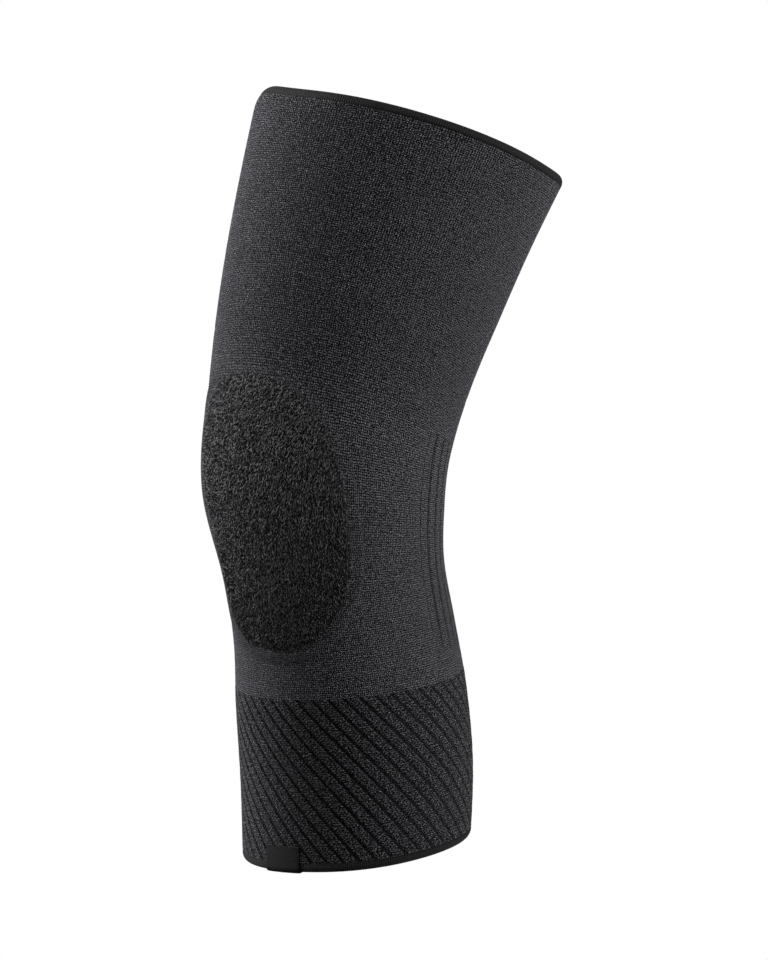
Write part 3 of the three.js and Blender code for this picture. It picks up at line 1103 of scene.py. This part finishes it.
class KNEESLEEVE_OT_knit_tube(Operator):
    """Knits the plain tube from the thigh binding to the cuff, with windows for the pad and the panel."""

    bl_idname = "knee_sleeve.knit_tube"
    bl_label = "Knit tube"

    def execute(self, context):
        knit = settings_of(context).knit
        low = CUFF_TOP + KNIT_GAP / 2
        high = TOP_RIM - BINDING_LEAF - GAP
        step = TOP_RIM - BINDING_TALL + SEWN
        courses = round((high - low) / knit.course)
        rng = np.random.default_rng(KNIT_SEED)
        unevenness = rng.normal(0, KNIT_UNEVEN, (courses + 1, KNIT_COLUMNS + 1))
        unevenness[:, -1] = unevenness[:, 0]

        def outer(angle, at):
            row = (at - low) / (high - low) * courses
            column = (angle + math.pi) / TURN * KNIT_COLUMNS
            uneven = unevenness[np.rint(row).astype(int), np.rint(column).astype(int)]
            line = soft_line(np.abs(angle), SIDE_LINE_AT, SIDE_LINE_WIDE)
            line_deep = SIDE_LINE_DEEP * line * smooth_share(at, SIDE_LINE_TOP, 0)
            ring_deep = RING_DEEP * soft_line(at, RING_AT, RING_WIDE)
            lift = knit.relief * (ripple(row) - 0.5 + uneven) - line_deep - ring_deep
            return np.where(at > step, HEM_OUTER, YARN_LIFT + lift)

        def inner(angle, at):
            return np.where(at > step, HEM_INNER, -WALL)

        bm = bmesh.new()
        raise_sheet(flat_sheet(bm, -math.pi, math.pi, low, high, KNIT_COLUMNS, 2 * courses), outer)
        inner_sheet(bm, -math.pi, math.pi, low, high, KNIT_INNER_GRID, inner)
        keep_flat_uv(bm)
        lay_on_leg(bm)
        close_rims(bm)
        material = knit_finish(knit, low, (high - low) / courses)
        tube = piece_from(bm, "knit_tube", "knit_sleeve", material)
        for outline, above, at, angle in (
            (pad_outline(), PAD_ABOVE, PAD_AT, 0),
            (panel_outline(), PANEL_ABOVE, PANEL_AT, math.pi),
        ):
            cut(tube, plug(outline * (1 + KNIT_GAP / (above * MM)), at, angle), "DIFFERENCE")
        smooth(tube)
        return {"FINISHED"}


class KNEESLEEVE_OT_kneecap_pad(Operator):
    """Makes the body of the kneecap pad, with its rounded border."""

    bl_idname = "knee_sleeve.kneecap_pad"
    bl_label = "Kneecap pad"

    def execute(self, context):
        settings = settings_of(context)
        outline = pad_outline()
        lifts = curve_through(PAD_RINGS, PAD_OUTSIDE_REACHES)[:, 0] * MM
        inside = [(reach, -WALL) for reach in PAD_INSIDE_REACHES]
        bm = bmesh.new()
        spun_inlay(bm, [*zip(PAD_OUTSIDE_REACHES, lifts), *inside], outline, PAD_AT, 0)
        flat = coordinates(bm.verts)
        border = bm.verts.layers.float.new("border")
        for vert, past in zip(bm.verts, pad_reach(flat, outline) - plush_reach(flat)):
            vert[border] = smooth_share(past, -PLUSH_FADE, 0)
        keep_flat_uv(bm)
        lay_on_leg(bm)
        material = pad_finish(settings.plush, settings.knit)
        pad = piece_from(bm, "kneecap_pad", "patella_pad", material)
        smooth(pad)
        return {"FINISHED"}


class KNEESLEEVE_OT_plush_loops(Operator):
    """Sets the plush on the pad, as small loops of yarn."""

    bl_idname = "knee_sleeve.plush_loops"
    bl_label = "Plush loops"

    def execute(self, context):
        plush = settings_of(context).plush
        rng = np.random.default_rng(PLUSH_SEED)
        x, z, reach, inside = self.places(plush, rng)
        count = x.size
        arch = self.arch(plush)
        corners = coordinates(arch.vertices)
        flat = self.corners_on_sheet(corners, x, z, reach, inside, rng)
        # Painted shade towards the bottom, and painted light towards the upper left and at the plush's
        # edge, go into each loop's tone
        painted_light_and_shade = 1 - PAINTED_SHADE_BELOW * smooth_share(z, 0, -PAINTED_SHADE_DOWN)
        painted_light_and_shade = painted_light_and_shade + PAINTED_LIGHT_UPPER_LEFT * smooth_share(z - x, PAINTED_LIGHT_FROM, PAINTED_LIGHT_FULL)
        edge = PAINTED_EDGE_LIGHT * smooth_share(inside, PAINTED_EDGE_LIGHT_WITHIN, 0)
        tone = rng.uniform(0, 1, count) * painted_light_and_shade + edge
        # Painted shade at the loops' roots: 1 at a root in the pad and 0 at the loop's tip
        root = np.clip(1 + corners[:, 1] / plush.span, 0, 1)
        bm = bmesh.new()
        for _ in range(count):
            bm.from_mesh(arch)
        bpy.data.meshes.remove(arch)
        put_at(bm, flat_on_leg(flat))
        loops = piece_from(bm, "plush_loops", None, plush_finish(plush))
        for name, values in (("loop", np.repeat(tone, len(corners))), ("root", np.tile(root, count))):
            loops.data.attributes.new(name, "FLOAT", "POINT").data.foreach_set("value", values)
        smooth(loops)
        return {"FINISHED"}

    def arch(self, plush):
        """Mesh of one arch of yarn that stands out of the sheet."""
        bm = bmesh.new()
        matrix = Matrix.Translation((plush.span, 0, 0)) @ Matrix.Rotation(math.pi / 2, 4, "X")
        bmesh.ops.create_circle(
            bm, cap_ends=True, segments=LOOP_SIDES, radius=plush.thickness, matrix=matrix
        )
        spun = bmesh.ops.spin(
            bm, geom=list(bm.verts) + list(bm.edges), cent=(0, 0, 0), axis=(0, 0, 1),
            angle=-math.pi, steps=LOOP_BENDS,
        )
        last = [edge for edge in spun["geom_last"] if isinstance(edge, bmesh.types.BMEdge)]
        bmesh.ops.holes_fill(bm, edges=last, sides=0)
        bmesh.ops.recalc_face_normals(bm, faces=bm.faces)
        return mesh_from(bm, "arch")

    def places(self, plush, rng):
        """Middles of the loops in staggered rows, their reach on the pad, and how far inside the plush."""
        outline = pad_outline()
        wide = np.abs(outline[:, 0]).max()
        low, high = outline[:, 1].min(), outline[:, 1].max()
        tall = plush.spacing * LOOP_ROW
        grid = np.meshgrid(np.arange(-wide, wide, plush.spacing), np.arange(low, high, tall))
        x, z = (axis.ravel() for axis in grid)
        x = x + plush.spacing / 2 * (np.rint((z - low) / tall) % 2)
        x = x + rng.normal(0, LOOP_SCATTER, x.size) * plush.spacing
        z = z + rng.normal(0, LOOP_SCATTER, x.size) * plush.spacing
        middles = np.stack([x, 0 * x, z + PAD_AT], axis=1)
        reach = pad_reach(middles, outline)
        inside = plush_reach(middles) - reach
        kept = inside + rng.normal(0, PLUSH_RAGGED, x.size) > 0
        return x[kept], z[kept], reach[kept], inside[kept]

    def corners_on_sheet(self, corners, x, z, reach, inside, rng):
        """An arch's corners on the flat sheet, once for each loop, with its own size, tip and turn."""
        tufts = np.array([noise.noise((a / TUFT, b / TUFT, 0.5)) for a, b in zip(x, z)])
        lift = curve_through(PAD_RINGS, reach)[:, 0] * MM - LOOP_SUNK + TUFT_LIFT * tufts
        more = LOOP_TURN_MORE * smooth_share(x - z, LOOP_TURN_FROM, LOOP_TURN_FULL)
        turned = LOOP_TURN + more + rng.normal(0, LOOP_TURN_SPREAD, x.size)
        tipped = rng.normal(0, LOOP_TIP_SPREAD, x.size)
        smaller = LOOP_SMALLER * smooth_share(inside, LOOP_SMALLER_WITHIN, 0)
        size = rng.uniform(*LOOP_SIZES, x.size) * (1 - smaller)
        across, out, up = corners.T[:, None] * size[:, None]
        out, up = rotated(out, up, tipped[:, None])
        across, up = rotated(across * LOOP_LENGTH, up, turned[:, None])
        flat = [x[:, None] + across, out - lift[:, None], PAD_AT + z[:, None] + up]
        return np.stack(flat, axis=2).reshape(-1, 3)


class KNEESLEEVE_OT_back_panel(Operator):
    """Makes the panel behind the knee, with its upright ribs."""

    bl_idname = "knee_sleeve.back_panel"
    bl_label = "Back panel"

    def execute(self, context):
        settings = settings_of(context)
        ribs = settings.ribs
        low = PANEL_AT - (PANEL_BELOW + PANEL_MARGIN) * MM
        high = PANEL_AT + (PANEL_ABOVE + PANEL_MARGIN) * MM
        courses = round((high - low) / settings.knit.course)
        course = (high - low) / courses
        pitch = TURN / PANEL_RIBS
        left = pitch * PANEL_FIRST_RIB
        right = TURN - left

        def outer(angle, at):
            place = angle / pitch
            grooves = rib_depth(place) + PANEL_BACK_GROOVE * rib_depth(place + 0.5)
            shown = smooth_share(at, PANEL_FADE_LOW, PANEL_FADE_HIGH)
            relief = ribs.relief * PANEL_RELIEF * (ripple((at - low) / course) - 0.5)
            return YARN_LIFT - ribs.panel_groove * grooves * shown + relief

        def inner(angle, at):
            return np.full_like(angle, -WALL)

        bm = bmesh.new()
        columns = round((right - left) / pitch) * COLUMNS_PER_RIB
        raise_sheet(flat_sheet(bm, left, right, low, high, columns, 2 * courses), outer)
        inner_sheet(bm, left, right, low, high, PANEL_INNER_GRID, inner)
        keep_flat_uv(bm)
        bmesh.ops.bridge_loops(bm, edges=open_edges(bm))
        lay_on_leg(bm)
        material = rib_finish(PANEL_LOOK, ribs.panel_yarn, ribs.depth, pitch * FLAT_RADIUS, low, course)
        panel = piece_from(bm, "rib_panel", "back_panel", material)
        cut(panel, plug(panel_outline(), PANEL_AT, math.pi), "INTERSECT")
        smooth(panel)
        return {"FINISHED"}


class KNEESLEEVE_OT_rib_cuff(Operator):
    """Makes the calf cuff, whose ribs run round the leg as they go down."""

    bl_idname = "knee_sleeve.rib_cuff"
    bl_label = "Rib cuff"

    def execute(self, context):
        ribs = settings_of(context).ribs
        high = CUFF_TOP - KNIT_GAP / 2
        low = BOTTOM_RIM + BINDING_LEAF + GAP
        step = BOTTOM_RIM + BINDING_TALL - SEWN
        pitch = TURN / CUFF_RIBS
        wales = CUFF_RIBS * WALES_PER_RIB
        courses = round((high - low) / ribs.course)
        course = (high - low) / courses
        rng = np.random.default_rng(CUFF_SEED)
        unevenness = rng.uniform(*CUFF_UNEVEN, (courses + 1, wales))

        def outer(angle, at):
            row = (at - low) / course
            wale = angle / pitch * WALES_PER_RIB + WALE_SHIFT
            across = np.abs(np.mod(wale, 1) - 0.5) * 2
            uneven = unevenness[np.floor(row + ROW_SLACK).astype(int), np.floor(wale).astype(int) % wales]
            raised = ribs.relief * ripple(row) * uneven * (1 - across**2)
            lift = raised - ribs.cuff_groove * rib_depth(angle / pitch)
            return np.where(at < step, HEM_OUTER, YARN_LIFT + lift)

        def inner(angle, at):
            return np.where(at < step, HEM_INNER, -WALL)

        bm = bmesh.new()
        columns = CUFF_RIBS * COLUMNS_PER_RIB
        raise_sheet(flat_sheet(bm, -math.pi, math.pi, low, high, columns, 2 * courses), outer)
        inner_sheet(bm, -math.pi, math.pi, low, high, CUFF_INNER_GRID, inner)
        keep_flat_uv(bm)
        for vert in bm.verts:
            row = math.floor((vert.co.z - low) / course + ROW_SLACK)
            turned = CUFF_PHASE + CUFF_TURN_PER_METRE * (high - low - (row + 0.5) * course)
            vert.co.x += turned * FLAT_RADIUS
        lay_on_leg(bm)
        close_rims(bm)
        material = rib_finish(CUFF_LOOK, ribs.cuff_yarn, ribs.depth, pitch * FLAT_RADIUS, low, course)
        cuff = piece_from(bm, "slant_cuff", "rib_cuff", material)
        smooth(cuff)
        return {"FINISHED"}


class KNEESLEEVE_OT_bindings(Operator):
    """Folds a tape over each rim."""

    bl_idname = "knee_sleeve.bindings"
    bl_label = "Bindings"

    def execute(self, context):
        tape = settings_of(context).tape
        material = binding_finish(tape)
        self.bind(tape, material, TOP_RIM, "thigh_binding", "top_binding", 0.371)
        self.bind(tape, material, BOTTOM_RIM, "calf_binding", "bottom_binding", 0.265)
        return {"FINISHED"}

    def bind(self, tape, material, rim, name, node, flat_length):
        inwards = -math.copysign(1, rim)
        section = [
            (BINDING_TALL * share, YARN_LIFT + over * MM + tape.bulge * swell)
            for share, over, swell in BINDING_FACE
        ]
        section += [
            (0, BINDING_INSIDE + BINDING_CORNER),
            (BINDING_CORNER, BINDING_INSIDE),
            (BINDING_TALL, BINDING_INSIDE),
            (BINDING_TALL, BINDING_INSIDE + BINDING_LEAF),
            (BINDING_LEAF, BINDING_INSIDE + BINDING_LEAF),
            (BINDING_LEAF, -BINDING_LEAF),
            (BINDING_TALL, -BINDING_LEAF),
        ]
        start = -math.pi * FLAT_RADIUS
        bm = bmesh.new()
        verts = [bm.verts.new((start, -lift, rim + inwards * down)) for down, lift in section]
        bm.faces.new(verts)
        bmesh.ops.bevel(
            bm, geom=verts, offset=BINDING_ROUND, segments=2, profile=0.5, affect="VERTICES", material=-1
        )
        bmesh.ops.delete(bm, geom=list(bm.faces), context="FACES_ONLY")
        spin_along(bm, TURN * FLAT_RADIUS, BINDING_STEPS)
        keep_flat_uv(bm)
        lay_on_leg(bm)
        binding = piece_from(bm, name, node, material)
        smooth(binding)


class KNEESLEEVE_OT_hem_tab(Operator):
    """Folds the bare tab over the calf binding."""

    bl_idname = "knee_sleeve.hem_tab"
    bl_label = "Hem tab"

    def execute(self, context):
        tape = settings_of(context).tape
        outside = YARN_LIFT + tape.bulge
        inside = BINDING_INSIDE - GAP - TAB_LEAF
        fold = BOTTOM_RIM - TAB_GAP
        path = [
            (outside, TAB_TOP),
            (outside, fold + TAB_FOLD_TALL),
            (outside - TAB_FOLD_OUTSIDE, fold),
            (inside + TAB_FOLD_INSIDE, fold),
            (inside, fold + TAB_FOLD_TALL),
            (inside, TAB_INSIDE_TOP),
        ]
        bm = bmesh.new()
        verts = [bm.verts.new((TAB_FROM * FLAT_RADIUS, -lift, at)) for lift, at in path]
        edges = [bm.edges.new(pair) for pair in zip(verts, verts[1:])]
        bmesh.ops.subdivide_edges(bm, edges=edges, cuts=TAB_CUTS)
        spin_along(bm, (TAB_TO - TAB_FROM) * FLAT_RADIUS, TAB_STEPS)
        keep_flat_uv(bm)
        bmesh.ops.solidify(bm, geom=list(bm.faces), thickness=-TAB_LEAF)
        lay_on_leg(bm)
        tab = piece_from(bm, "hem_tab", "label_tab", tab_finish(tape))
        smooth(tab)
        return {"FINISHED"}


# Stage


class KNEESLEEVE_OT_stage(Operator):
    """Sets the pale floor, the soft lights and the camera."""

    bl_idname = "knee_sleeve.stage"
    bl_label = "Stage"

    def execute(self, context):
        stage = settings_of(context).stage
        scene = context.scene
        scene.view_settings.view_transform = "Standard"
        back = Vector((
            math.sin(stage.azimuth) * math.cos(stage.elevation),
            -math.cos(stage.azimuth) * math.cos(stage.elevation),
            math.sin(stage.elevation),
        ))
        right = Vector((math.cos(stage.azimuth), math.sin(stage.azimuth), 0))
        up = back.cross(right)
        self.floor(scene, stage)
        self.surroundings(scene, stage)
        for name, (across, high, near), size, power in LIGHTS:
            self.light(scene, name, right * across + up * high + back * near, size, power)
        lens = bpy.data.cameras.new("camera")
        lens.lens = lens.sensor_width * stage.distance * PIXELS_PER_METRE / PICTURE_TALL
        lens.clip_end = CAMERA_FAR
        place = right * LOOK_RIGHT + up * LOOK_UP + back * stage.distance
        scene.camera = self.aim(scene, "camera", lens, place, (-back).to_track_quat("-Z", "Y"))
        return {"FINISHED"}

    def floor(self, scene, stage):
        """White to the camera, and dark grey to the light that falls on it."""
        bm = bmesh.new()
        bmesh.ops.create_grid(bm, x_segments=1, y_segments=1, size=FLOOR_HALF)
        bmesh.ops.translate(bm, verts=bm.verts, vec=(0, 0, stage.floor))
        mesh = mesh_from(bm, "floor")
        material = bpy.data.materials.new("pale_floor")
        material.use_nodes = True
        start = Shade(material.node_tree)
        seen = start.node("ShaderNodeLightPath", output="Is Camera Ray")
        grey = start.node("ShaderNodeBsdfDiffuse", inputs={"Color": opaque([stage.bounce] * 3)})
        white = start.node("ShaderNodeEmission", inputs={"Color": opaque(WHITE)})
        shader = start.node("ShaderNodeMixShader", inputs={0: seen, 1: grey, 2: white})
        feed(material.node_tree.nodes["Material Output"].inputs["Surface"], shader)
        mesh.materials.append(material)
        floor = bpy.data.objects.new("floor", mesh)
        scene.collection.objects.link(floor)

    def surroundings(self, scene, stage):
        """White to the camera, and softer as a light."""
        world = bpy.data.worlds.new("white_surroundings")
        world.use_nodes = True
        seen = Shade(world.node_tree).node("ShaderNodeLightPath", output="Is Camera Ray")
        sky = world.node_tree.nodes["Background"]
        sky.inputs["Color"].default_value = opaque(WHITE)
        feed(sky.inputs["Strength"], seen.span(stage.daylight, 1.0))
        scene.world = world

    def light(self, scene, name, place, size, power):
        data = bpy.data.lights.new(name, "AREA")
        data.shape = "RECTANGLE"
        data.size, data.size_y = size
        data.energy = power
        self.aim(scene, name, data, place, (-place).to_track_quat("-Z", "Z"))

    def aim(self, scene, name, data, place, turn):
        aimed = bpy.data.objects.new(name, data)
        aimed.location = place
        aimed.rotation_mode = "QUATERNION"
        aimed.rotation_quaternion = turn
        scene.collection.objects.link(aimed)
        return aimed


# Add-on


OPERATORS = (
    KNEESLEEVE_OT_knit_tube,
    KNEESLEEVE_OT_kneecap_pad,
    KNEESLEEVE_OT_plush_loops,
    KNEESLEEVE_OT_back_panel,
    KNEESLEEVE_OT_rib_cuff,
    KNEESLEEVE_OT_bindings,
    KNEESLEEVE_OT_hem_tab,
    KNEESLEEVE_OT_stage,
)


class KNEESLEEVE_PT_pieces(Panel):
    """Lists the sleeve's pieces and their settings."""

    bl_idname = "KNEESLEEVE_PT_pieces"
    bl_label = "Knee sleeve"
    bl_space_type = "VIEW_3D"
    bl_region_type = "UI"
    bl_category = "Knee sleeve"

    def draw(self, context):
        settings = settings_of(context)
        for group in (settings.knit, settings.plush, settings.ribs, settings.tape, settings.stage):
            box = self.layout.box()
            for name in group.bl_rna.properties.keys():
                if name not in {"rna_type", "name"}:
                    box.prop(group, name)
        for operator in OPERATORS:
            self.layout.operator(operator.bl_idname)


CLASSES = (
    KnitSettings,
    PlushSettings,
    RibSettings,
    TapeSettings,
    StageSettings,
    SleeveSettings,
    *OPERATORS,
    KNEESLEEVE_PT_pieces,
)


def register():
    for cls in CLASSES:
        bpy.utils.register_class(cls)
    bpy.types.Scene.knee_sleeve = PointerProperty(type=SleeveSettings)


def unregister():
    del bpy.types.Scene.knee_sleeve
    for cls in reversed(CLASSES):
        bpy.utils.unregister_class(cls)


def main():
    register()
    bpy.ops.knee_sleeve.knit_tube()
    bpy.ops.knee_sleeve.kneecap_pad()
    bpy.ops.knee_sleeve.plush_loops()
    bpy.ops.knee_sleeve.back_panel()
    bpy.ops.knee_sleeve.rib_cuff()
    bpy.ops.knee_sleeve.bindings()
    bpy.ops.knee_sleeve.hem_tab()
    bpy.ops.knee_sleeve.stage()


if __name__ == "__main__":
    main()
